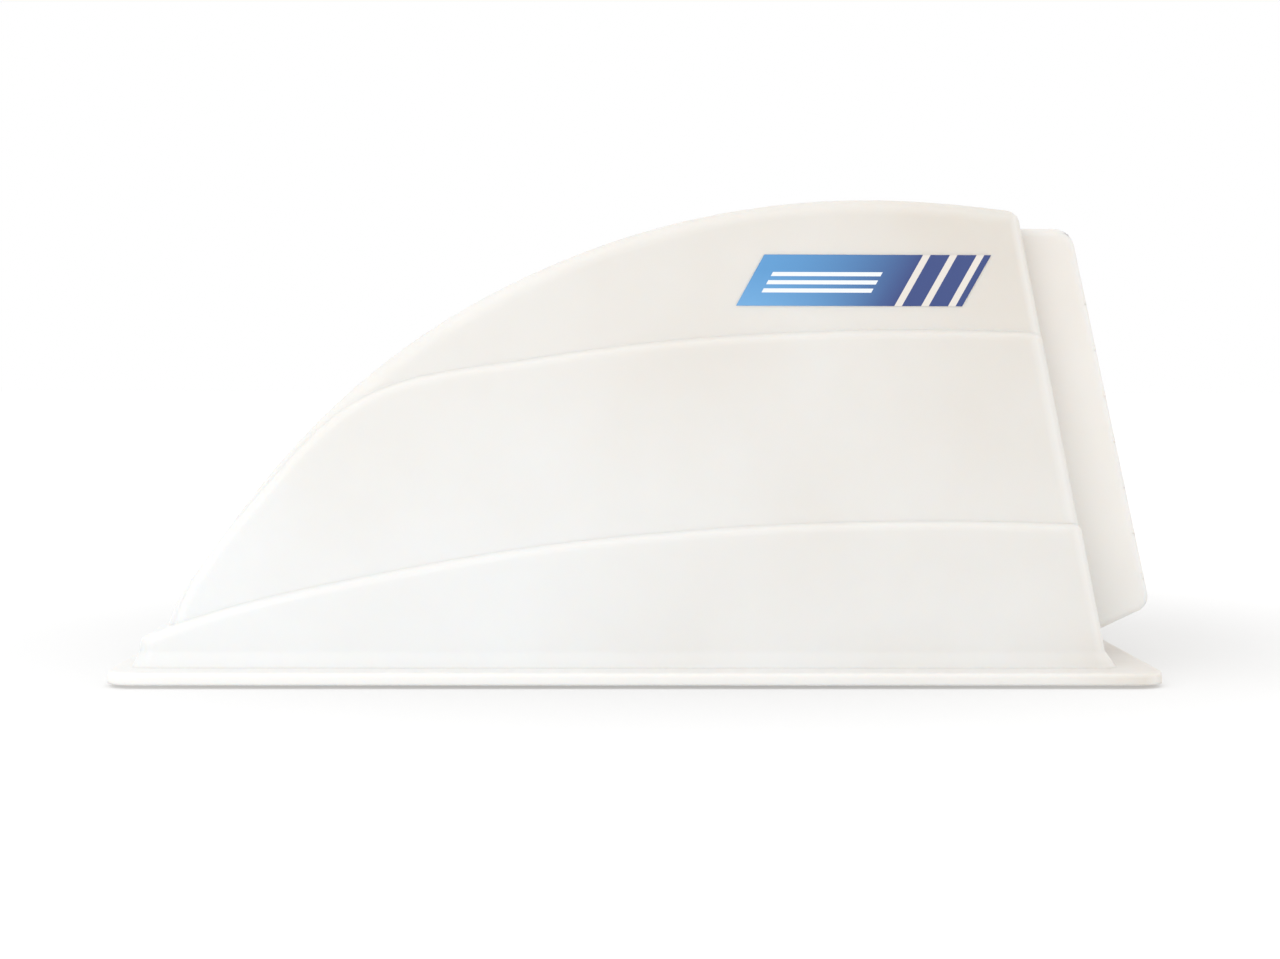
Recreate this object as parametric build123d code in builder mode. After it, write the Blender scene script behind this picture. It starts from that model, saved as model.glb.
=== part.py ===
from build123d import *

import os
from math import cos, radians, sin, tan

# Roof vent cover for a 14 inch roof vent, in millimetres.
# +X points to the louvred rear, +Z up.  The origin is the middle of the cover on the plane
# that the undersides of the mounting brackets lie in.  The left side is -Y.
SIDES = {"left": -1, "right": 1}

# ---------------------------------------------------------------- overall sizes
LENGTH = 562.0
WIDTH = 474.0
WALL = 3.0

# ---------------------------------------------------------------- heights
SHEET = 2.0                       # bracket metal, lying on z = 0
LEAF = 1.5                        # thickness of a hinge leaf
RIM_Z = 2.0                       # lower edge of the flange's turned-down rim
FLANGE_Z = 5.5                    # underside of the hood's base flange
FLANGE_TOP = FLANGE_Z + WALL
SKIRT_TOP = 17.0                  # where the flared skirt meets the bottom tier
SKIRT_LAP = 3.0                   # how far the skirt overlaps the bottom tier
BASE_BOTTOM = 12.0                # the bottom tier starts inside the skirt
TIER_BOTTOM = 20.0                # the two upper tiers start inside the bottom tier

# ---------------------------------------------------------------- hood outline
# Side outlines in the XZ plane, nose first.  Each tier stands inside the one below it.
TOP_CURVE = [
    (-254.6, TIER_BOTTOM), (-247.0, 44.1), (-233.9, 63.8), (-207.2, 100.2), (-154.0, 157.2), (-100.9, 196.5),
    (-46.9, 224.5), (7.3, 244.1), (61.5, 255.9), (121.8, 260.8), (169.7, 258.9),
]
UPPER_LEDGE = [
    (-251.6, TIER_BOTTOM), (-244.1, 44.0), (-205.2, 99.0), (-178.1, 129.2), (-152.0, 150.7), (-122.0, 163.2),
    (-73.0, 171.9), (-20.0, 179.9), (34.0, 185.7), (87.9, 189.1), (141.9, 190.4),
]
LOWER_LEDGE = [
    (-267.0, 23.6), (-225.5, 38.6), (-153.3, 55.8), (-73.1, 70.6), (7.0, 80.3), (88.1, 85.8), (168.2, 87.4),
]
NOSE_X = LOWER_LEDGE[0][0]
REAR_LEAN = 11.0                  # the rear face leans forward by this angle
REAR_X = 257.3                    # the rear face carried down to z = 0
DRAFT = 3.5                       # side walls lean inwards by this angle
SIDE_Y = 214.0                    # half width of the bottom tier at the top of the skirt
SIDE_STEP = 3.5                   # each tier stands this much further in than the one below
CORNER_RADII = (9.0, 11.5, 9.0)   # upright corners of the tiers, bottom one first

# flared skirt, base flange
SKIRT_NOSE_X = -272.0
SKIRT_REAR_X = 261.6
SKIRT_SIDE_Y = 217.4
FLANGE_RADIUS = 15.0
FLANGE_EDGE = 2.0                 # rounding of the flange's outer edge

# ---------------------------------------------------------------- louvred rear housing
HOUSING_LEAN = 12.6
HOUSING_X = 295.5                 # its rear face carried down to z = 0
HOUSING_Z = 246.6                 # its flat top
HOUSING_CORNER_Z = 37.7           # where its rear face turns forward to the floor
HOUSING_FLOOR_X = 261.0
HOUSING_FLOOR = 25.4
HOUSING_Y = 172.0                 # half width
HOUSING_WALL = 2.5
HOUSING_GAP = 0.3                 # room round it in the hood's opening
HOUSING_EDGES = (12.0, 9.0, 5.0)  # rounding: top corner, bottom corner, sides
LIP = 10.5                        # side lip that lies against the inside of the hood
LIP_RISE = 0.8                    # height of the lip above the housing's top

SLOT_ROWS = 7
SLOT_LOW = 62.0                   # height of the lowest slot's middle
SLOT_PITCH = 26.0
SLOT_HEIGHT = 15.0
SLOT_WIDTH = 160.0
SLOT_RADIUS = 1.5
MULLION = 5.0                     # between the two slots of a row
BLADE_DEPTH = 14.0
BLADE_THICK = 2.2
BLADE_INSET = 0.8                 # blades and mullion stop this far inside the face

# ---------------------------------------------------------------- insect screen
SCREEN_Y = 182.0
SCREEN_RAIL = 30.0
SCREEN_THICK = 4.0
SCREEN_RADIUS = 6.0
WINDOW_RADIUS = 8.0
MESH_THICK = 0.8
SCREW_Y = 177.5
SCREW_LEVELS = (48.0, 106.0, 164.0, 222.0)
SCREW_R = 1.5
SCREW_HEAD_R = 3.2
SCREW_HEAD = 2.2                  # height of a screw head
SCREW_BITE = 1.8                  # depth of its thread in the hood
RECESS = (3.4, 0.9, 1.2)          # cross recess: length, width, depth

# ---------------------------------------------------------------- brackets
CURB = 184.0                      # half size of the vent curb that the brackets screw to
BRACKET_Y = 80.0
LATCH_Y = 75.0
BRACKET_WIDTH = 40.0
BRACKET_HEIGHT = 42.0
BRACKET_RADIUS = 6.0
CURB_HOLE_R = 2.6
CURB_HOLE_SPACING = 22.0
CURB_HOLE_Z = 29.0

# ---------------------------------------------------------------- hinges
HINGE_X = -277.0
HINGE_Z = 4.25
KNUCKLE_R = 3.25
PIN_R = 1.5
RUN = 0.05                        # radial running clearance
LEAF_KNUCKLE = 17.4
KNUCKLE_GAP = 0.3                 # end play between barrels
LEAF_X = (-271.5, -240.5)
PAD_X = (-270.0, -240.0)          # flat pad inside the nose that the leaf is screwed to
HINGE_SCREW_X = -252.0
HINGE_SCREW_SPACING = 24.0
HINGE_SCREW_R = 2.0
HINGE_SCREW_HEAD_R = 3.8
NOTCH_X = -271.6                  # the flange is cut away in front of this for the barrels
NOTCH_WIDTH = BRACKET_WIDTH + 6

# ---------------------------------------------------------------- latches
LATCH_Z = 16.0
BOSS_X = 263.0                    # outer face of the latch bosses
BOSS_LENGTH = 16.0
BOSS_WIDTH = 22.0
TAB_X = 244.0                     # inner face of the upright tab
TAB_TOP = 22.0
TAB_WIDTH = 14.0
STRIP_END = 277.0
STRIP_RADIUS = 3.0
SUPPORT_X = 268.5                 # middle of the rubber pads under the rear flange
SUPPORT = (14.0, 11.0)
BOLT_R = 2.5
BOLT_END = 279.0
BOLT_SLACK = 0.3                  # clearance of the bolt in the tab's slot and of its head
BOLT_HEAD = (5.5, 2.7)            # radius, height
WASHER_R = 5.5
WASHER_THICK = 1.2
SEAL_R = 5.8
KNOB_R = 7.0
KNOB_END = 276.5
LOBES = 6

# ---------------------------------------------------------------- side decals
DECAL = [(53.8, 203.0), (69.1, 230.7), (192.1, 230.7), (176.4, 203.0)]
DECAL_THICK = 0.3

lean = radians(REAR_LEAN)
OUT = (cos(lean), 0, sin(lean))   # outward normal of the hood's rear face
face_lean = radians(HOUSING_LEAN)
FACE_OUT = (cos(face_lean), 0, sin(face_lean))
REACH = 400.0                     # longer than any cut
INNER_STEPS = 24                  # points along the inside of a tier's outline
half_bracket = BRACKET_WIDTH / 2

# (outline, height of its end at the rear face, bottom, number from the bottom, rounding of its rim)
TIERS = [
    (TOP_CURVE, 254.6, TIER_BOTTOM, 2, 8.0),
    (UPPER_LEDGE, 188.9, TIER_BOTTOM, 1, 5.0),
    (LOWER_LEDGE, 85.5, BASE_BOTTOM, 0, 5.0),
]


# ---------------------------------------------------------------- hood helpers
def rear_at(z):
    """X of the hood's rear face at height z."""
    return REAR_X - z * tan(lean)


def side_at(z, tier):
    """Half width of a tier's side wall at height z; tier 0 is the bottom one."""
    return SIDE_Y - (z - SKIRT_TOP) * tan(radians(DRAFT)) - tier * SIDE_STEP


def tier_outline(outline, end_z, wall):
    """Points of a tier's outline from the nose to the rear face, moved inwards by wall."""
    points = [*outline, (rear_at(end_z), end_z)]
    if wall:
        curve = Spline(*points, mode=Mode.PRIVATE)
        points = []
        for step in range(INNER_STEPS):
            spot = curve @ (step / INNER_STEPS)
            along = curve % (step / INNER_STEPS)
            points.append((spot.X + wall * along.Y, spot.Y - wall * along.X))
        points.append((rear_at(end_z - wall) - wall, end_z - wall))
    return points


def tier_block(outline, end_z, bottom, tier, rim_radius, wall):
    """One drafted tier as a solid block, shrunk by wall on every side but the bottom."""
    low_z = bottom - wall
    points = tier_outline(outline, end_z, wall)
    with BuildPart() as block:
        with BuildSketch(Plane.XZ.offset(-REACH)):
            with BuildLine():
                crown = Spline(*points)
                corners = [crown @ 1, (rear_at(low_z) - wall, low_z), (points[0][0], low_z)]
                if points[0][1] > low_z:
                    corners.append(crown @ 0)
                Polyline(*corners)
            make_face()
        extrude(amount=2 * REACH)
        with BuildSketch(Plane.YZ):
            low = side_at(0, tier) - wall
            high = side_at(REACH, tier) - wall
            with BuildLine():
                Polyline((-low, 0), (low, 0), (high, REACH), (-high, REACH), close=True)
            make_face()
        extrude(amount=REACH, both=True, mode=Mode.INTERSECT)
        uprights = block.edges().filter_by(is_upright)
        fillet(uprights, radius=CORNER_RADII[tier] - wall)
        rim = block.faces().sort_by(Axis.Z)[-1].edges()
        fillet(rim.filter_by(lambda edge: edge.bounding_box().max.Z > low_z + 1 + wall), radius=rim_radius - wall)
    return block.part


def is_upright(edge):
    """True for the straight corner edges at the rear and, on the bottom tier, at the nose."""
    box = edge.bounding_box()
    tall = box.max.Z - box.min.Z > 5
    at_rear = box.min.X > 200
    at_nose = box.max.X < NOSE_X + 2 * WALL
    return edge.geom_type == GeomType.LINE and tall and (at_rear or at_nose)


def skirt_block(wall, low_z):
    """The flared skirt shrunk by wall; its slope runs on up inside the bottom tier."""
    top = (NOSE_X, rear_at(SKIRT_TOP), SIDE_Y)
    foot = (SKIRT_NOSE_X, SKIRT_REAR_X, SKIRT_SIDE_Y)
    with BuildPart() as block:
        for z in (SKIRT_TOP + SKIRT_LAP, low_z):
            share = (SKIRT_TOP - z) / (SKIRT_TOP - FLANGE_Z)
            nose, rear, half_width = [a + (b - a) * share for a, b in zip(top, foot)]
            with BuildSketch(Plane.XY.offset(z)):
                with Locations(((nose + rear) / 2, 0)):
                    RectangleRounded(rear - nose - 2 * wall, 2 * (half_width - wall), CORNER_RADII[0] - wall)
        loft(ruled=True)
    return block.part


def rear_plane(depth):
    """Sketch plane parallel to the hood's rear face, depth outside it: x is +Y, y runs up the slope."""
    return Plane(origin=(REAR_X + depth * cos(lean), 0, depth * sin(lean)), x_dir=(0, 1, 0), z_dir=OUT)


def slope(z, depth=0.0):
    """Distance up the hood's rear plane at this depth that reaches height z."""
    return (z - depth * sin(lean)) / cos(lean)


def housing_outline(inner_x):
    """Corners of the housing's side outline; inner_x is how far it starts inside the rear face."""
    return [
        (rear_at(HOUSING_Z) - inner_x, HOUSING_Z),
        (HOUSING_X - HOUSING_Z * tan(face_lean), HOUSING_Z),
        (HOUSING_X - HOUSING_CORNER_Z * tan(face_lean), HOUSING_CORNER_Z),
        (HOUSING_FLOOR_X, HOUSING_FLOOR),
        (rear_at(HOUSING_FLOOR) - inner_x, HOUSING_FLOOR),
    ]


LIP_OUTER = -WALL                 # depth of the lip's face that touches the hood
LIP_INNER = LIP_OUTER - HOUSING_WALL
SCREEN_INNER = LIP_INNER - SCREEN_THICK
LIP_TOP = slope(HOUSING_Z) + LIP_RISE
SCREW_SPOTS = [(side * SCREW_Y, slope(z)) for side in SIDES.values() for z in SCREW_LEVELS]
boss_spots = [(BOSS_X - BOSS_LENGTH / 2, side * LATCH_Y) for side in SIDES.values()]
latch_spots = [(side * LATCH_Y, LATCH_Z) for side in SIDES.values()]
hinge_screw_spots = [(HINGE_SCREW_X, side * BRACKET_Y + shift * HINGE_SCREW_SPACING / 2)
                     for side in SIDES.values() for shift in (-1, 1)]


# ---------------------------------------------------------------- hood shell
with BuildPart() as hood_shell:
    with BuildSketch(Plane.XY.offset(RIM_Z)):
        RectangleRounded(LENGTH, WIDTH, FLANGE_RADIUS)
    extrude(amount=FLANGE_TOP - RIM_Z)
    fillet(hood_shell.edges().group_by(Axis.Z)[-1], radius=FLANGE_EDGE)
    with BuildSketch(Plane.XY.offset(RIM_Z)):
        RectangleRounded(LENGTH - 2 * WALL, WIDTH - 2 * WALL, FLANGE_RADIUS - WALL)
    extrude(amount=FLANGE_Z - RIM_Z, mode=Mode.SUBTRACT)
    add(skirt_block(0.0, FLANGE_TOP - 1.0))
    for tier in TIERS:
        add(tier_block(*tier, 0.0))
    for tier in TIERS:
        add(tier_block(*tier, WALL), mode=Mode.SUBTRACT)
    add(skirt_block(WALL, FLANGE_Z - 1.0), mode=Mode.SUBTRACT)
    # opening for the louvred housing
    with BuildSketch(Plane.XZ):
        with BuildLine():
            Polyline(*housing_outline(20.0), close=True)
        make_face()
    extrude(amount=HOUSING_Y + HOUSING_GAP, both=True, mode=Mode.SUBTRACT)
    # flat pads inside the nose for the hinge leaves
    with BuildSketch(Plane.XY.offset(SHEET + LEAF)):
        with Locations(*[(sum(PAD_X) / 2, side * BRACKET_Y) for side in SIDES.values()]):
            Rectangle(PAD_X[1] - PAD_X[0], BRACKET_WIDTH + 4)
    extrude(amount=FLANGE_TOP - SHEET - LEAF)
    # latch bosses through the rear skirt
    with BuildSketch(Plane.XY.offset(FLANGE_Z)):
        with Locations(*boss_spots):
            Rectangle(BOSS_LENGTH, BOSS_WIDTH)
    extrude(amount=TAB_TOP - FLANGE_Z)
    # notches in the flange for the hinge knuckles
    with BuildSketch(Plane.XY.offset(RIM_Z - 1)):
        with Locations(*[(-LENGTH / 2, side * BRACKET_Y) for side in SIDES.values()]):
            Rectangle(2 * (LENGTH / 2 + NOTCH_X), NOTCH_WIDTH)
    extrude(amount=FLANGE_TOP - RIM_Z + 2, mode=Mode.SUBTRACT)
    # holes: hinge screws, latch bolts, rear panel screws
    with BuildSketch(Plane.XY.offset(SHEET)):
        with Locations(*hinge_screw_spots):
            Circle(HINGE_SCREW_R + RUN)
    extrude(amount=FLANGE_TOP, mode=Mode.SUBTRACT)
    with BuildSketch(Plane.YZ.offset(TAB_X)):
        with Locations(*latch_spots):
            Circle(BOLT_R + 2 * RUN)
    extrude(amount=BOSS_X - TAB_X + 1, mode=Mode.SUBTRACT)
    with BuildSketch(rear_plane(LIP_OUTER)):
        with Locations(*SCREW_SPOTS):
            Circle(SCREW_R)
    extrude(amount=SCREW_BITE + 0.2, mode=Mode.SUBTRACT)
hood_shell.part.label = "hood_shell"


# ---------------------------------------------------------------- louvred rear housing
face_plane = Plane(origin=(HOUSING_X, 0, 0), x_dir=(0, 1, 0), z_dir=FACE_OUT)
across_plane = Plane(origin=face_plane.origin, x_dir=FACE_OUT, z_dir=(0, -1, 0))
slot_centres = [SLOT_LOW / cos(face_lean) + SLOT_PITCH * row for row in range(SLOT_ROWS)]


def blade_outline(centre):
    """Section of one blade: it rises inwards from the lower edge of its slot, so rain runs out."""
    foot = centre - SLOT_HEIGHT / 2
    return [
        (-BLADE_INSET, foot - BLADE_THICK),
        (-BLADE_INSET, foot + BLADE_INSET),
        (-BLADE_DEPTH, foot + BLADE_DEPTH),
        (-BLADE_DEPTH, foot + BLADE_DEPTH - BLADE_THICK * 1.4),
    ]


with BuildPart() as louvre_housing:
    with BuildSketch(Plane.XZ.offset(-HOUSING_Y)):
        with BuildLine():
            Polyline(*housing_outline(-LIP_INNER / cos(lean)), close=True)
        make_face()
    extrude(amount=2 * HOUSING_Y)
    top_edges = louvre_housing.edges().filter_by(Axis.Y).filter_by(lambda edge: edge.center().Z > HOUSING_Z - 1)
    fillet(top_edges.sort_by(Axis.X)[-1], radius=HOUSING_EDGES[0])
    fillet(louvre_housing.edges().filter_by(Axis.Y).sort_by(Axis.X)[-1], radius=HOUSING_EDGES[1])
    rim = louvre_housing.faces().filter_by(Axis.Y).edges()
    rim = rim.filter_by(lambda edge: edge.center().X > rear_at(edge.center().Z))
    fillet(rim.filter_by(lambda edge: edge.center().Z > HOUSING_FLOOR + 2), radius=HOUSING_EDGES[2])
    with BuildSketch(rear_plane(LIP_INNER)):
        with BuildLine():
            Polyline((-HOUSING_Y - LIP, slope(HOUSING_FLOOR)), (HOUSING_Y + LIP, slope(HOUSING_FLOOR)),
                     (HOUSING_Y + LIP, LIP_TOP), (-HOUSING_Y - LIP, LIP_TOP), close=True)
        make_face()
    extrude(amount=HOUSING_WALL)
    with BuildSketch(Plane.XZ):
        with BuildLine():
            Polyline(*housing_outline(60.0), close=True)
        make_face()
        offset(amount=-HOUSING_WALL, kind=Kind.INTERSECTION)
    extrude(amount=HOUSING_Y - HOUSING_WALL, both=True, mode=Mode.SUBTRACT)
    with BuildSketch(face_plane.offset(-HOUSING_WALL - 1)):
        for centre in slot_centres:
            with Locations((0, centre)):
                with GridLocations(SLOT_WIDTH + MULLION, 0, 2, 1):
                    RectangleRounded(SLOT_WIDTH, SLOT_HEIGHT, SLOT_RADIUS)
    extrude(amount=HOUSING_WALL + 3, mode=Mode.SUBTRACT)
    with BuildSketch(across_plane):
        for centre in slot_centres:
            with BuildLine():
                Polyline(*blade_outline(centre), close=True)
            make_face()
    extrude(amount=HOUSING_Y - 1, both=True)
    # a mullion ties the blades together
    with BuildSketch(across_plane):
        with BuildLine():
            Polyline((-BLADE_INSET, slot_centres[0] - SLOT_HEIGHT), (-BLADE_INSET, slot_centres[-1] + SLOT_HEIGHT),
                     (-BLADE_DEPTH, slot_centres[-1] + SLOT_HEIGHT), (-BLADE_DEPTH, slot_centres[0]), close=True)
        make_face()
    extrude(amount=MULLION / 2, both=True)
    with BuildSketch(rear_plane(LIP_INNER - 1)):
        with Locations(*SCREW_SPOTS):
            Circle(SCREW_R + 0.2)
    extrude(amount=HOUSING_WALL + 2, mode=Mode.SUBTRACT)
louvre_housing.part.label = "louvre_housing"


# ---------------------------------------------------------------- insect screen
screen_low = slope(HOUSING_FLOOR + 1)
screen_high = LIP_TOP - 1
screen_mid = (screen_low + screen_high) / 2
window = (2 * (SCREEN_Y - SCREEN_RAIL), screen_high - screen_low - SCREEN_RAIL)

with BuildPart() as screen_frame:
    with BuildSketch(rear_plane(SCREEN_INNER)):
        with Locations((0, screen_mid)):
            RectangleRounded(2 * SCREEN_Y, screen_high - screen_low, SCREEN_RADIUS)
            RectangleRounded(*window, WINDOW_RADIUS, mode=Mode.SUBTRACT)
        with Locations(*SCREW_SPOTS):
            Circle(SCREW_R + 0.2, mode=Mode.SUBTRACT)
    extrude(amount=SCREEN_THICK)
screen_frame.part.label = "screen_frame"

with BuildPart() as screen_mesh:
    with BuildSketch(rear_plane(SCREEN_INNER + (SCREEN_THICK - MESH_THICK) / 2)):
        with Locations((0, screen_mid)):
            RectangleRounded(*window, WINDOW_RADIUS)
    extrude(amount=MESH_THICK)
screen_mesh.part.label = "screen_mesh"


# ---------------------------------------------------------------- screws
def cross_recess(plane, spots):
    """Cross recesses cut into screw heads; the plane lies on top of the heads and faces into them."""
    with BuildSketch(plane) as crosses:
        with Locations(*spots):
            Rectangle(RECESS[0], RECESS[1])
            Rectangle(RECESS[1], RECESS[0])
    extrude(crosses.sketch, amount=RECESS[2], mode=Mode.SUBTRACT)


with BuildPart() as rear_panel_screws:
    with BuildSketch(rear_plane(SCREEN_INNER)):
        with Locations(*SCREW_SPOTS):
            Circle(SCREW_R)
    extrude(amount=LIP_OUTER - SCREEN_INNER + SCREW_BITE)
    with BuildSketch(rear_plane(SCREEN_INNER)):
        with Locations(*SCREW_SPOTS):
            Circle(SCREW_HEAD_R)
    extrude(amount=-SCREW_HEAD, taper=12)
    cross_recess(rear_plane(SCREEN_INNER - SCREW_HEAD), SCREW_SPOTS)
rear_panel_screws.part.label = "rear_panel_screws"

with BuildPart() as hinge_screws:
    with BuildSketch(Plane.XY.offset(SHEET)):
        with Locations(*hinge_screw_spots):
            Circle(HINGE_SCREW_R)
    extrude(amount=FLANGE_TOP - SHEET)
    with BuildSketch(Plane.XY.offset(FLANGE_TOP)):
        with Locations(*hinge_screw_spots):
            Circle(HINGE_SCREW_HEAD_R)
    extrude(amount=SCREW_HEAD, taper=14)
    cross_recess(Plane.XY.offset(FLANGE_TOP + SCREW_HEAD - RECESS[2]), hinge_screw_spots)
hinge_screws.part.label = "hinge_screws"


# ---------------------------------------------------------------- front hinges
def hinge_plane(y):
    """Sketch plane across the hinge axis at this y, facing +Y."""
    return Plane(origin=(HINGE_X, y, HINGE_Z), x_dir=(1, 0, 0), z_dir=(0, 1, 0))


def knuckle(hinge_y, spans, bore):
    """Hinge barrels along Y: spans are (low, high) offsets from the middle of the hinge."""
    for low, high in spans:
        with BuildSketch(hinge_plane(hinge_y + low)) as barrel:
            Circle(KNUCKLE_R)
        extrude(barrel.sketch, amount=high - low)
    with BuildSketch(hinge_plane(hinge_y - BRACKET_WIDTH)) as hole:
        Circle(bore)
    extrude(hole.sketch, amount=2 * BRACKET_WIDTH, mode=Mode.SUBTRACT)


def upright(bracket, curb_x, outward, y):
    """A bracket's upright against the curb, with its bend rounded and two screw holes side by side."""
    with BuildSketch(Plane.XY) as foot:
        with Locations((curb_x + outward * SHEET / 2, y)):
            Rectangle(SHEET, BRACKET_WIDTH)
    extrude(foot.sketch, amount=BRACKET_HEIGHT)
    fillet(bracket.edges().filter_by(Axis.X).sort_by(Axis.Z)[-2:], radius=BRACKET_RADIUS)
    across = bracket.edges().filter_by(Axis.Y)
    fillet(across.sort_by_distance((curb_x, y, 0))[0], radius=SHEET)
    across = bracket.edges().filter_by(Axis.Y)
    fillet(across.sort_by_distance((curb_x + outward * SHEET, y, SHEET))[0], radius=SHEET / 2)
    with BuildSketch(Plane.YZ.offset(curb_x - 2 * SHEET)) as holes:
        with Locations((y, CURB_HOLE_Z)):
            with GridLocations(CURB_HOLE_SPACING, 0, 2, 1):
                Circle(CURB_HOLE_R)
    extrude(holes.sketch, amount=4 * SHEET, mode=Mode.SUBTRACT)


leaf_half = LEAF_KNUCKLE / 2
bracket_spans = [(-half_bracket, -leaf_half - KNUCKLE_GAP), (leaf_half + KNUCKLE_GAP, half_bracket)]


def front_bracket(name, hinge_y):
    """Bent strip: upright against the curb, leg along the roof, two barrels at its end."""
    with BuildPart() as bracket:
        with BuildSketch(Plane.XY):
            with Locations(((HINGE_X - CURB) / 2, hinge_y)):
                Rectangle(-CURB - HINGE_X, BRACKET_WIDTH)
            with Locations((HINGE_X, hinge_y)):
                Rectangle(2 * (KNUCKLE_R + 0.5), LEAF_KNUCKLE + 2 * KNUCKLE_GAP, mode=Mode.SUBTRACT)
        extrude(amount=SHEET)
        upright(bracket, -CURB, -1, hinge_y)
        knuckle(hinge_y, bracket_spans, PIN_R)
    bracket.part.label = name
    return bracket.part


def hinge_leaf(name, hinge_y):
    """Leaf under the hood's nose pad, with one barrel between the bracket's two."""
    with BuildPart() as leaf:
        with BuildSketch(Plane.XY.offset(SHEET)):
            with Locations((sum(LEAF_X) / 2, hinge_y)):
                RectangleRounded(LEAF_X[1] - LEAF_X[0], BRACKET_WIDTH, 3.0)
            with Locations((LEAF_X[0], hinge_y)):
                Rectangle(2 * (LEAF_X[0] - HINGE_X), LEAF_KNUCKLE)
        extrude(amount=LEAF)
        knuckle(hinge_y, [(-leaf_half, leaf_half)], PIN_R + RUN)
        with BuildSketch(Plane.XY.offset(SHEET)):
            with Locations((HINGE_SCREW_X, hinge_y)):
                with GridLocations(0, HINGE_SCREW_SPACING, 1, 2):
                    Circle(HINGE_SCREW_R)
        extrude(amount=LEAF, mode=Mode.SUBTRACT)
    leaf.part.label = name
    return leaf.part


with BuildPart() as hinge_pins:
    for side in SIDES.values():
        with BuildSketch(hinge_plane(side * BRACKET_Y - half_bracket - 0.6)):
            Circle(PIN_R)
        extrude(amount=BRACKET_WIDTH + 1.2)
    chamfer(hinge_pins.edges().filter_by(GeomType.CIRCLE), length=0.4)
hinge_pins.part.label = "hinge_pins"


# ---------------------------------------------------------------- rear brackets and latches
def rear_bracket(name, latch_y):
    """Bent strip with a tab lanced upright out of its leg; the latch bolt drops into the tab's slot."""
    with BuildPart() as bracket:
        with BuildSketch(Plane.XY):
            with Locations(((CURB + STRIP_END) / 2, latch_y)):
                Rectangle(STRIP_END - CURB, BRACKET_WIDTH)
            with Locations((STRIP_END, latch_y)):
                Rectangle(2 * (STRIP_END - TAB_X - SHEET), TAB_WIDTH + 2, mode=Mode.SUBTRACT)
        extrude(amount=SHEET)
        fillet(bracket.edges().filter_by(Axis.Z).sort_by(Axis.X)[-4:], radius=STRIP_RADIUS)
        upright(bracket, CURB, 1, latch_y)
        with BuildSketch(Plane.XY):
            with Locations((TAB_X + SHEET / 2, latch_y)):
                Rectangle(SHEET, TAB_WIDTH)
        extrude(amount=TAB_TOP)
        with BuildSketch(Plane.YZ.offset(TAB_X - 1)):
            with Locations((latch_y, LATCH_Z)):
                Circle(BOLT_R + BOLT_SLACK)
            with Locations((latch_y, TAB_TOP)):
                Rectangle(2 * (BOLT_R + BOLT_SLACK), 2 * (TAB_TOP - LATCH_Z))
        extrude(amount=SHEET + 2, mode=Mode.SUBTRACT)
    bracket.part.label = name
    return bracket.part


with BuildPart() as bracket_pads:
    with BuildSketch(Plane.XY.offset(SHEET)):
        for side in SIDES.values():
            with Locations((SUPPORT_X, side * LATCH_Y)):
                with GridLocations(0, BRACKET_WIDTH - SUPPORT[1] - 1, 1, 2):
                    RectangleRounded(*SUPPORT, 1.5)
    extrude(amount=FLANGE_Z - SHEET)
bracket_pads.part.label = "bracket_pads"


def stack(y, low_x, high_x, radius, hole=0.0):
    """A round piece of the latch along X at the bolt's height."""
    with BuildSketch(Plane.YZ.offset(low_x)) as disc:
        with Locations((y, LATCH_Z)):
            Circle(radius)
            if hole:
                Circle(hole, mode=Mode.SUBTRACT)
    extrude(disc.sketch, amount=high_x - low_x)


knob_x = BOSS_X + WASHER_THICK
head_x = TAB_X - BOLT_SLACK

with BuildPart() as latch_bolts:
    for side in SIDES.values():
        stack(side * LATCH_Y, head_x, BOLT_END, BOLT_R)
        stack(side * LATCH_Y, head_x - BOLT_HEAD[1], head_x, BOLT_HEAD[0])
    heads = latch_bolts.edges().filter_by(GeomType.CIRCLE).group_by(Axis.X)[0]
    fillet(heads, radius=2.0)
    ends = latch_bolts.edges().filter_by(GeomType.CIRCLE).group_by(Axis.X)[-1]
    chamfer(ends, length=0.6)
latch_bolts.part.label = "latch_bolts"

with BuildPart() as seal_washers:
    for side in SIDES.values():
        stack(side * LATCH_Y, TAB_X + SHEET + 0.25, BOSS_X - BOSS_LENGTH, SEAL_R, BOLT_R)
seal_washers.part.label = "seal_washers"

with BuildPart() as steel_washers:
    for side in SIDES.values():
        stack(side * LATCH_Y, BOSS_X, knob_x, WASHER_R, BOLT_R)
steel_washers.part.label = "steel_washers"


def latch_knob(name, y):
    """Moulded knob with six lobes and a through bore."""
    with BuildPart() as knob:
        stack(y, knob_x, KNOB_END, KNOB_R)
        with BuildSketch(Plane.YZ.offset(knob_x + 2.5)):
            with Locations((y, LATCH_Z)):
                with PolarLocations(KNOB_R + 1.2, LOBES):
                    Circle(2.4)
        extrude(amount=KNOB_END - knob_x, mode=Mode.SUBTRACT)
        fillet(knob.edges().group_by(Axis.X)[-1], radius=0.8)
        stack_bore(y)
    knob.part.label = name
    return knob.part


def stack_bore(y):
    """The bolt's running bore through a knob."""
    with BuildSketch(Plane.YZ.offset(knob_x)) as bore:
        with Locations((y, LATCH_Z)):
            Circle(BOLT_R + RUN)
    extrude(bore.sketch, amount=KNOB_END - knob_x, mode=Mode.SUBTRACT)


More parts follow.
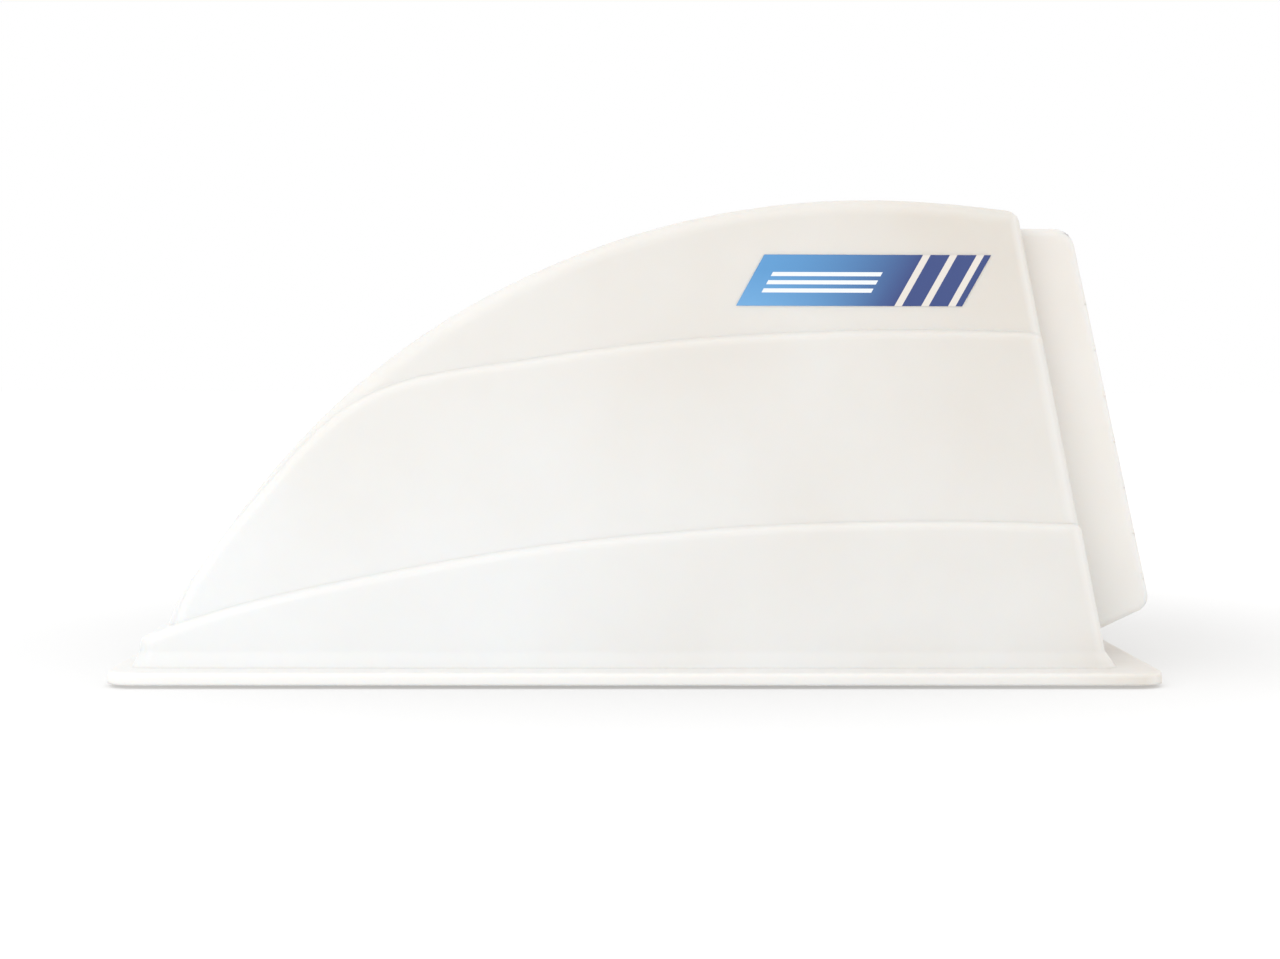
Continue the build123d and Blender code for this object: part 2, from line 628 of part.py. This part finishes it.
# ---------------------------------------------------------------- side decals
def side_decal(name, side):
    """Thin slanted sticker on the top tier's drafted wall."""
    tilt = radians(DRAFT)
    wall_plane = Plane(origin=(0, side * side_at(0, 2), 0), x_dir=(-side, 0, 0),
                       z_dir=(0, side * cos(tilt), sin(tilt)))
    with BuildPart() as decal:
        with BuildSketch(wall_plane):
            with BuildLine():
                Polyline(*[(-side * x, z / cos(tilt)) for x, z in DECAL], close=True)
            make_face()
        extrude(amount=DECAL_THICK)
    decal.part.label = name
    return decal.part


# ---------------------------------------------------------------- write the parts
pieces = [
    hood_shell.part, louvre_housing.part, screen_frame.part, screen_mesh.part, rear_panel_screws.part,
    hinge_screws.part, hinge_pins.part, bracket_pads.part, latch_bolts.part, seal_washers.part,
    steel_washers.part,
]
for name, side in SIDES.items():
    pieces.append(front_bracket("front_bracket_" + name, side * BRACKET_Y))
    pieces.append(hinge_leaf("hinge_leaf_" + name, side * BRACKET_Y))
    pieces.append(rear_bracket("rear_bracket_" + name, side * LATCH_Y))
    pieces.append(latch_knob("latch_knob_" + name, side * LATCH_Y))
    pieces.append(side_decal("side_decal_" + name, side))

os.makedirs("parts", exist_ok=True)
for piece in pieces:
    export_step(piece, f"parts/{piece.label}.step")
    print(piece.label, piece.is_valid, len(piece.solids()), piece.bounding_box())
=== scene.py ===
"""Looks of the roof vent cover: materials, woven insect screen, camera, floor and studio light.

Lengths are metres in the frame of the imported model: +X to the louvred rear, +Z up.
"""

from math import cos, radians, sin

import bpy
from mathutils import Matrix, Vector


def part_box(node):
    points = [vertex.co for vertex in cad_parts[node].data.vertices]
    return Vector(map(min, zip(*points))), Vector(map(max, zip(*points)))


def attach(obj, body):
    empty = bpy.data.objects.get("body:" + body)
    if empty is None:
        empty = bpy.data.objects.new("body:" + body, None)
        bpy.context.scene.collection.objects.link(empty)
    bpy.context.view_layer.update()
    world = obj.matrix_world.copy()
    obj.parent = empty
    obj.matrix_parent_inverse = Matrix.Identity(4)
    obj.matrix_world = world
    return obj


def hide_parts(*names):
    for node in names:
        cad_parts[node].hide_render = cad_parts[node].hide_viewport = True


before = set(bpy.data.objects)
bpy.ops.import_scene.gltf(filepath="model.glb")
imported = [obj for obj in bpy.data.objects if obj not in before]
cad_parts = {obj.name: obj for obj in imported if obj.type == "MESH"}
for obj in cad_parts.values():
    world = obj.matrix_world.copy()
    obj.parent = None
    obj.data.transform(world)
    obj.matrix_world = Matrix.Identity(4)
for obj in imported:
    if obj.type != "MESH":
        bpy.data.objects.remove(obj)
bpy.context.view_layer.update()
scene = bpy.context.scene


# ---------------------------------------------------------------- camera
CAMERA_PLACE = Vector((-0.0196, -1.490, 0.170))
CAMERA_YAW = radians(0.96)              # to the right of +Y
CAMERA_PITCH = radians(-2.707)          # below the horizon
CAMERA_ROLL = radians(0.135)
CAMERA_LENS = 67.2                      # millimetres, on the sensor below
SENSOR_WIDTH = 36.0
CAMERA_REACH = 60.0


def make_camera():
    """Camera a little above the cover's middle, looking along +Y from its left side."""
    level = cos(CAMERA_PITCH)
    ahead = Vector((sin(CAMERA_YAW) * level, cos(CAMERA_YAW) * level, sin(CAMERA_PITCH)))
    right = Vector((cos(CAMERA_YAW), -sin(CAMERA_YAW), 0))
    up = right.cross(ahead)
    rolled_right = right * cos(CAMERA_ROLL) + up * sin(CAMERA_ROLL)
    rolled_up = up * cos(CAMERA_ROLL) - right * sin(CAMERA_ROLL)
    turn = Matrix((rolled_right, rolled_up, -ahead)).transposed()
    data = bpy.data.cameras.new("camera")
    data.lens = CAMERA_LENS
    data.sensor_width = SENSOR_WIDTH
    data.clip_end = CAMERA_REACH
    camera = bpy.data.objects.new("camera", data)
    camera.matrix_world = Matrix.Translation(CAMERA_PLACE) @ turn.to_4x4()
    scene.collection.objects.link(camera)
    scene.camera = camera


# ---------------------------------------------------------------- material helpers
class Nodes:
    """A short way to build one material's node tree."""

    def __init__(self, name):
        self.material = bpy.data.materials.new(name)
        self.material.use_nodes = True
        self.tree = self.material.node_tree
        self.shader = self.tree.nodes["Principled BSDF"]

    def add(self, kind, settings=None, **inputs):
        """Add a node; the inputs are set or linked by name."""
        node = self.tree.nodes.new("ShaderNode" + kind)
        for key, value in (settings or {}).items():
            setattr(node, key, value)
        for key, value in inputs.items():
            self.feed(node, key, value)
        return node

    def feed(self, node, key, value):
        """Set or link one input; a key like _1 is an input's number."""
        socket = node.inputs[int(key[1:])] if key[0] == "_" else node.inputs[key.replace("_", " ")]
        if isinstance(value, bpy.types.NodeSocket):
            self.tree.links.new(value, socket)
        else:
            socket.default_value = value

    def set(self, **inputs):
        """Set or link inputs of the surface shader."""
        for key, value in inputs.items():
            self.feed(self.shader, key, value)

    def place(self):
        """The place in the object's own frame, which is the model's frame at rest."""
        return self.add("TexCoord").outputs["Object"]

    def split(self, vector):
        return self.add("SeparateXYZ", Vector=vector).outputs

    def noise(self, scale, detail=2.0, rough=0.5, place=None):
        node = self.add("TexNoise", Vector=place or self.place(),
                        Scale=scale, Detail=detail, Roughness=rough)
        return node.outputs["Fac"]

    def span(self, value, low, high, to_low, to_high):
        """Map low to high onto to_low to to_high, and no further at either end."""
        node = self.add("MapRange", _0=value, _1=low, _2=high, _3=to_low, _4=to_high)
        return node.outputs[0]

    def math(self, operation, a, b=0.0):
        return self.add("Math", {"operation": operation}, _0=a, _1=b).outputs[0]

    def fold(self, operation, *values):
        """Join two or more values with one operation, from the first to the last."""
        result = values[0]
        for value in values[1:]:
            result = self.math(operation, result, value)
        return result

    def mix(self, share, a, b):
        """The colour a at share 0 and b at share 1."""
        node = self.add("Mix", {"data_type": "RGBA"}, Factor=share, _6=a, _7=b)
        return node.outputs[2]

    def rounded(self, radius, samples):
        """The surface normal with its edges rounded off."""
        return self.add("Bevel", {"samples": samples}, Radius=radius).outputs["Normal"]

    def bump(self, height, distance, strength, normal=None):
        node = self.add("Bump", Height=height, Distance=distance, Strength=strength)
        if normal is not None:
            self.feed(node, "Normal", normal)
        return node.outputs["Normal"]


def rgb(red, green, blue):
    return (red, green, blue, 1.0)


def scaled_colour(colour, factor):
    return rgb(*(channel * factor for channel in colour[:3]))


# ---------------------------------------------------------------- moulded plastic
# The second colour of each pair below is painted shade, warmer and darker, reached towards the
# rear and the top.
PALE = rgb(0.82, 0.82, 0.815)
PALE_SHADED = rgb(0.69, 0.645, 0.59)
HOUSING = rgb(0.93, 0.90, 0.86)         # never reached: the housing lies wholly in the painted shade at the rear
HOUSING_SHADED = rgb(0.79, 0.735, 0.685)
HIGHLIGHT_TINT = rgb(0.89, 0.867, 0.835)     # painted highlight colour for creases, shoulders, upright corners and the flange's rim

# Each of these is a Nodes.span: from low, from high, to low, to high.
SHADE_ALONG = (-0.26, 0.27, 0.0, 0.52)   # share of the painted-shade colour, front to rear
SHADE_UP = (0.0, 0.26, -0.12, 0.48)      # and from the flange to the top, so the top is painted darker
CLOUD = (0.3, 0.7, -0.12, 0.12)
REAR_SHADOW_UP = (0.012, 0.03, 1.0, 0.0)       # painted shadow on the flange
REAR_SHADOW_ALONG = (0.22, 0.285, 0.0, 0.6)    # at its rear end, under the housing
CREASE_HIGHLIGHT = (0.04, 0.3, 0.0, 0.45)         # painted highlight against the shade in the creases, where an edge's rounding rises above the flat face
SHOULDER_HIGHLIGHT = (0.10, 0.5, 0.0, 0.22)       # painted highlight where the rounded normal rises
CORNER_HIGHLIGHT_IN = (0.2, 0.6, 0.0, 1.0)       # painted highlight where it turns to the rear, most at the corner
CORNER_HIGHLIGHT_OUT = (0.6, 0.95, 0.5, 0.15)
RIM_HIGHLIGHT_UP = (0.0075, 0.0105, 1.0, 0.0)     # painted highlight on the flange's turned-down rim
# the rim's painted highlight, weaker towards the rear
RIM_HIGHLIGHT_ALONG = (-0.1, 0.28, 0.7, 0.1)


def shade_and_cloud(make, parts, colour, shaded):
    """The plastic's colour with painted shade, warmer and darker towards the rear and the top, a
    painted shadow on the flange's rear end and a faint cloud.
    """
    # painted shade: warmer and darker towards the rear and the top
    shade_gradient = make.fold("ADD", make.span(parts[0], *SHADE_ALONG), make.span(parts[2], *SHADE_UP))
    cloud = make.span(make.noise(9.0, 3.0), *CLOUD)
    # painted shadow of the housing on the flange's rear end
    rear_shadow = make.fold("MULTIPLY", make.span(parts[2], *REAR_SHADOW_UP), make.span(parts[0], *REAR_SHADOW_ALONG))
    return make.mix(make.fold("ADD", shade_gradient, cloud, rear_shadow), colour, shaded)


def painted_highlights(make, parts, soft, base):
    """Painted highlights: paler on the ledges' creases and shoulders, on the upright rear corners
    and on the flange's rim.
    """
    turned = make.add("VectorTransform", {"vector_type": "NORMAL", "convert_from": "WORLD",
                                          "convert_to": "OBJECT"}, Vector=soft).outputs[0]
    backward, _, rising = make.split(turned)
    flat = make.split(make.add("TexCoord").outputs["Normal"])[2]
    crease_highlight = make.span(make.math("SUBTRACT", rising, flat), *CREASE_HIGHLIGHT)
    shoulder_highlight = make.span(rising, *SHOULDER_HIGHLIGHT)
    corner_highlight = make.fold("MULTIPLY", make.span(backward, *CORNER_HIGHLIGHT_IN),
                        make.span(backward, *CORNER_HIGHLIGHT_OUT))
    # painted highlight on the creases, the shoulders and the upright rear corners
    base = make.mix(make.fold("MAXIMUM", crease_highlight, shoulder_highlight, corner_highlight), base, HIGHLIGHT_TINT)
    # painted highlight on the flange's rim, weaker towards the rear
    rim_highlight = make.fold("MULTIPLY", make.span(parts[2], *RIM_HIGHLIGHT_UP), make.span(parts[0], *RIM_HIGHLIGHT_ALONG))
    return make.mix(rim_highlight, base, HIGHLIGHT_TINT)


def moulded_plastic(name, colour, shaded, roughness, softness):
    """Satin moulded plastic: painted shade towards the rear and top, painted highlights on edges
    and the rim, a slight waviness and a fine moulded grain.
    """
    make = Nodes(name)
    parts = make.split(make.place())
    soft = make.rounded(softness, 6)
    smear = make.noise(60.0, 4.0, 0.6)
    wave = make.bump(make.noise(14.0, 1.0), 0.0012, 0.35, soft)
    grain = make.bump(make.noise(2600.0, 2.0), 0.00004, 0.5, wave)
    make.set(Base_Color=painted_highlights(make, parts, soft, shade_and_cloud(make, parts, colour, shaded)),
             Roughness=make.span(smear, 0.3, 0.7, roughness - 0.05, roughness + 0.07),
             Normal=grain, IOR=1.49, Subsurface_Weight=0.45,
             Subsurface_Radius=(0.012, 0.009, 0.007), Subsurface_Scale=0.6)
    return make.material


# ---------------------------------------------------------------- the other materials
def metal(name, colour, roughness, grain_axis, lines_per_metre):
    """Rolled or plated metal with fine lines along one axis and a few dull patches."""
    make = Nodes(name)
    scale = [lines_per_metre] * 3
    scale[grain_axis] = lines_per_metre / 40
    stretched = make.add("Mapping", Vector=make.place(), Scale=scale).outputs[0]
    streak = make.noise(1.0, 3.0, 0.6, stretched)
    patch = make.noise(45.0, 3.0)
    rough = make.fold("ADD", make.span(streak, 0.3, 0.7, roughness - 0.06, roughness + 0.06),
                      make.span(patch, 0.4, 0.7, 0.0, 0.08))
    make.set(Base_Color=make.mix(patch, colour, scaled_colour(colour, 0.82)),
             Metallic=1.0, Roughness=rough,
             Normal=make.bump(streak, 0.00003, 0.6, make.rounded(0.0003, 4)))
    return make.material


def rubber(name):
    """Matt black rubber with a fine speckle."""
    make = Nodes(name)
    speck = make.noise(900.0, 3.0)
    make.set(Base_Color=make.mix(speck, rgb(0.012, 0.012, 0.013), rgb(0.03, 0.03, 0.03)),
             Roughness=make.span(speck, 0.3, 0.7, 0.7, 0.9),
             Normal=make.bump(speck, 0.00008, 0.7))
    return make.material


def textured_plastic(name, colour, roughness):
    """Hard plastic with a spark-eroded texture."""
    make = Nodes(name)
    speck = make.noise(1500.0, 2.0, 0.7)
    make.set(Base_Color=make.mix(make.noise(30.0), colour, scaled_colour(colour, 1.35)),
             Roughness=make.span(speck, 0.3, 0.7, roughness - 0.05, roughness + 0.1),
             Normal=make.bump(speck, 0.00006, 0.8, make.rounded(0.0004, 4)))
    return make.material


# ---------------------------------------------------------------- decal
DECAL_LIGHT = rgb(0.085, 0.29, 0.58)
DECAL_DARK = rgb(0.022, 0.050, 0.20)
DECAL_SHEEN = rgb(0.16, 0.40, 0.70)
INK_WHITE = rgb(0.80, 0.83, 0.86)
CLEAR_FILM = rgb(0.735, 0.69, 0.635)    # the hood as seen through the clear film
DECAL_SLANT = 15.7 / 138.6              # how far the ends lean, as a share of the length
PANEL_END = 0.62                        # the solid panel's share of the length
LINES_UP = (0.26, 0.70)                 # band of the white lines in the height
LINES_ALONG = (0.07, 0.50)              # and in the length
LINES_PER_HEIGHT = 6.25
BARS_PER_LENGTH = 9.5
BAR_GAP = 0.28                          # clear share of each bar's step


def decal_print():
    """Slanted panel with a blue gradient, then slanted bars with clear film between them."""
    low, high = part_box("side_decal_left")
    make = Nodes("decal")
    parts = make.split(make.place())
    up = make.span(parts[2], low.z, high.z, 0.0, 1.0)
    along = make.span(parts[0], low.x, high.x, 0.0, 1.0)
    run = make.math("SUBTRACT", along, make.math("MULTIPLY", up, DECAL_SLANT))
    # blue, darker to the rear, with a paler sheen low at the front
    fade = make.span(run, 0.0, PANEL_END, 0.0, 1.0)
    print_colour = make.mix(make.math("POWER", fade, 1.6), DECAL_LIGHT, DECAL_DARK)
    sheen = make.fold("MULTIPLY", make.span(up, 0.0, 0.7, 0.6, 0.0),
                      make.span(fade, 0.1, 0.9, 1.0, 0.0))
    print_colour = make.mix(sheen, print_colour, DECAL_SHEEN)
    # three thin white lines along the panel
    step = make.math("MULTIPLY", make.math("SUBTRACT", up, LINES_UP[0]), LINES_PER_HEIGHT)
    lines = make.math("LESS_THAN", make.math("FRACT", step), 0.5)
    for value, (start, end) in ((up, LINES_UP), (run, LINES_ALONG)):
        lines = make.fold("MULTIPLY", lines, make.math("GREATER_THAN", value, start),
                          make.math("LESS_THAN", value, end))
    print_colour = make.mix(lines, print_colour, INK_WHITE)
    # clear gaps between the bars
    beat = make.math("MULTIPLY", make.math("SUBTRACT", run, PANEL_END), BARS_PER_LENGTH)
    bar = make.math("GREATER_THAN", make.math("FRACT", beat), BAR_GAP)
    clear = make.fold("MULTIPLY", make.math("GREATER_THAN", run, PANEL_END),
                      make.math("SUBTRACT", 1.0, bar))
    make.set(Base_Color=make.mix(clear, print_colour, CLEAR_FILM), Roughness=0.28,
             Coat_Weight=0.4, Coat_Roughness=0.12,
             Normal=make.bump(make.noise(900.0, 2.0), 0.00002, 0.4))
    return make.material


# ---------------------------------------------------------------- finish of each CAD node
def dress(material, *names):
    for name in names:
        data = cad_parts[name].data
        data.materials.clear()
        data.materials.append(material)


steel = metal("steel", rgb(0.62, 0.62, 0.60), 0.30, 1, 700.0)
dress(steel, *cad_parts)           # pins, bolts, screws and washers keep this
dress(moulded_plastic("hood_plastic", PALE, PALE_SHADED, 0.34, 0.0022), "hood_shell")
dress(moulded_plastic("housing_plastic", HOUSING, HOUSING_SHADED, 0.36, 0.0012), "louvre_housing")
dress(textured_plastic("screen_plastic", rgb(0.42, 0.42, 0.41), 0.5), "screen_frame")
dress(decal_print(), "side_decal_left", "side_decal_right")
dress(metal("bracket_metal", rgb(0.72, 0.73, 0.74), 0.36, 0, 900.0),
      "front_bracket_left", "front_bracket_right", "rear_bracket_left", "rear_bracket_right")
dress(rubber("rubber"), "bracket_pads", "seal_washers")
dress(textured_plastic("knob_plastic", rgb(0.018, 0.018, 0.02), 0.42),
      "latch_knob_left", "latch_knob_right")
wire = metal("screen_mesh", rgb(0.23, 0.24, 0.25), 0.42, 2, 500.0)
dress(wire, "screen_mesh")


# ---------------------------------------------------------------- woven insect screen
SCREEN_LEAN = radians(11.0)
MESH_PITCH = 0.0025
WIRE_RADIUS = 0.00018
WEAVE_RISE = 0.0002                     # how far a wire rises over the one that it crosses


def wire_tube(vertices, faces, points, across, out):
    """Add one closed square wire along points; across and out span its section."""
    first = len(vertices)
    for point in points:
        vertices += [point + across * WIRE_RADIUS, point + out * WIRE_RADIUS,
                     point - across * WIRE_RADIUS, point - out * WIRE_RADIUS]
    for ring in range(len(points) - 1):
        base = first + 4 * ring
        for corner in range(4):
            turned = (corner + 1) % 4
            faces.append((base + corner, base + 4 + corner, base + 4 + turned, base + turned))
    last = first + 4 * (len(points) - 1)
    faces.append((first, first + 1, first + 2, first + 3))
    faces.append((last + 3, last + 2, last + 1, last))


def make_screen():
    """Plain-woven wires in the leaning plane of the sheet that they stand for."""
    low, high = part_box("screen_mesh")
    up = Vector((-sin(SCREEN_LEAN), 0, cos(SCREEN_LEAN)))
    out = Vector((cos(SCREEN_LEAN), 0, sin(SCREEN_LEAN)))
    side = Vector((0, 1, 0))
    centre = (low + high) / 2
    columns = int((high.y - low.y) / MESH_PITCH)
    rows = int((high.z - low.z) / cos(SCREEN_LEAN) / MESH_PITCH)

    def crossing(column, row, sign):
        rise = sign * WEAVE_RISE * (1 if (column + row) % 2 else -1)
        return (centre + side * (column - columns / 2) * MESH_PITCH
                + up * (row - rows / 2) * MESH_PITCH + out * rise)

    vertices, faces = [], []
    for column in range(columns + 1):
        points = [crossing(column, row, 1) for row in range(rows + 1)]
        wire_tube(vertices, faces, points, side, out)
    for row in range(rows + 1):
        points = [crossing(column, row, -1) for column in range(columns + 1)]
        wire_tube(vertices, faces, points, out, up)
    mesh = bpy.data.meshes.new("insect_screen")
    mesh.from_pydata(vertices, [], faces)
    mesh.materials.append(wire)
    piece = bpy.data.objects.new("insect_screen", mesh)
    scene.collection.objects.link(piece)
    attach(piece, "hood")
    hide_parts("screen_mesh")


# ---------------------------------------------------------------- floor and light
FLOOR_REACH = 14.0
FLOOR_COLOUR = rgb(0.62, 0.625, 0.63)
FLOOR_GLOW = rgb(1.0, 0.985, 0.965)
GLOW_AWAY = (0.25, 0.6, 0.26, 0.42)     # weaker under the cover, so its shadow shows

# name, place, point it is aimed at, side of the square, watts, colour
LIGHTS = (
    ("key", (-1.0, -2.1, 0.75), (-0.1, 0.0, 0.1), 1.2, 8.0, (1.0, 0.99, 0.975)),
    ("fill", (1.5, -1.5, 0.9), (0.25, -0.1, 0.12), 1.0, 1.0, (1.0, 0.975, 0.94)),
    ("top", (-0.9, -0.5, 1.7), (0.0, 0.0, 0.1), 1.6, 3.0, (1.0, 0.995, 0.985)),
)


def make_floor():
    """White floor at the height of the brackets' undersides.

    It is a lit table: part of its brightness is its own, so shadows on it stay pale.
    """
    mesh = bpy.data.meshes.new("floor")
    corners = [(x * FLOOR_REACH, y * FLOOR_REACH, 0)
               for x, y in ((-1, -1), (1, -1), (1, 1), (-1, 1))]
    mesh.from_pydata(corners, [], [(0, 1, 2, 3)])
    floor = bpy.data.objects.new("floor", mesh)
    scene.collection.objects.link(floor)
    make = Nodes("floor")
    away = make.add("VectorMath", {"operation": "LENGTH"}, _0=make.place()).outputs["Value"]
    make.set(Base_Color=FLOOR_COLOUR, Roughness=0.9, Specular_IOR_Level=0.0,
             Emission_Color=FLOOR_GLOW, Emission_Strength=make.span(away, *GLOW_AWAY))
    mesh.materials.append(make.material)


def make_light():
    """White surroundings and three soft lights."""
    world = bpy.data.worlds.new("studio")
    world.use_nodes = True
    background = world.node_tree.nodes["Background"].inputs
    background["Color"].default_value = rgb(1, 1, 1)
    background["Strength"].default_value = 1.0
    scene.world = world
    for name, place, aim, side, watts, colour in LIGHTS:
        data = bpy.data.lights.new(name, "AREA")
        data.size = side
        data.energy = watts
        data.color = colour
        light = bpy.data.objects.new(name, data)
        light.location = place
        light.rotation_euler = (Vector(aim) - Vector(place)).to_track_quat("-Z", "Y").to_euler()
        scene.collection.objects.link(light)
    scene.view_settings.view_transform = "Standard"


make_screen()
make_camera()
make_floor()
make_light()
